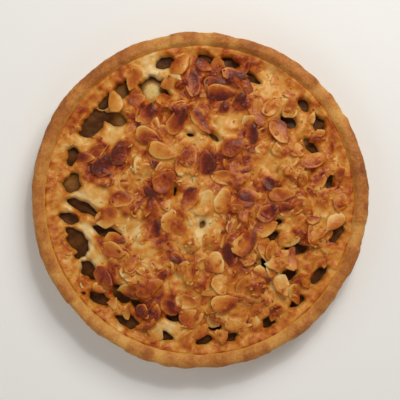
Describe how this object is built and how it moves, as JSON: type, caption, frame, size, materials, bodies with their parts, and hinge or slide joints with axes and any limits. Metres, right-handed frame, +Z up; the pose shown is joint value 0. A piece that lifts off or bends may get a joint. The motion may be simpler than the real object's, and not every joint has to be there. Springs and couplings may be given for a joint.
{
  "type": "apricot tart",
  "caption": "Round yeast-dough tart with an apricot filling under a dough net, covered with flaked almonds baked in golden sugar.",
  "frame": {"origin": "on the flat underside at the middle of the tart", "axes": "+Z up out of the tart's top, +Y away from the viewer of the pictured view, +X to the viewer's right"},
  "size_m": [0.2386, 0.2386, 0.0346],
  "materials": {
    "baked_dough": "golden baked yeast dough, dry and slightly rough",
    "apricot_filling": "dark glossy cooked fruit",
    "almonds_in_sugar": "pale dough net and toasted almond flakes under golden caramel"
  },
  "bodies": {
    "root": {"dough_case": "baked_dough", "apricot_filling": "apricot_filling", "almond_net_topping": "almonds_in_sugar"}
  },
  "joints": []
}
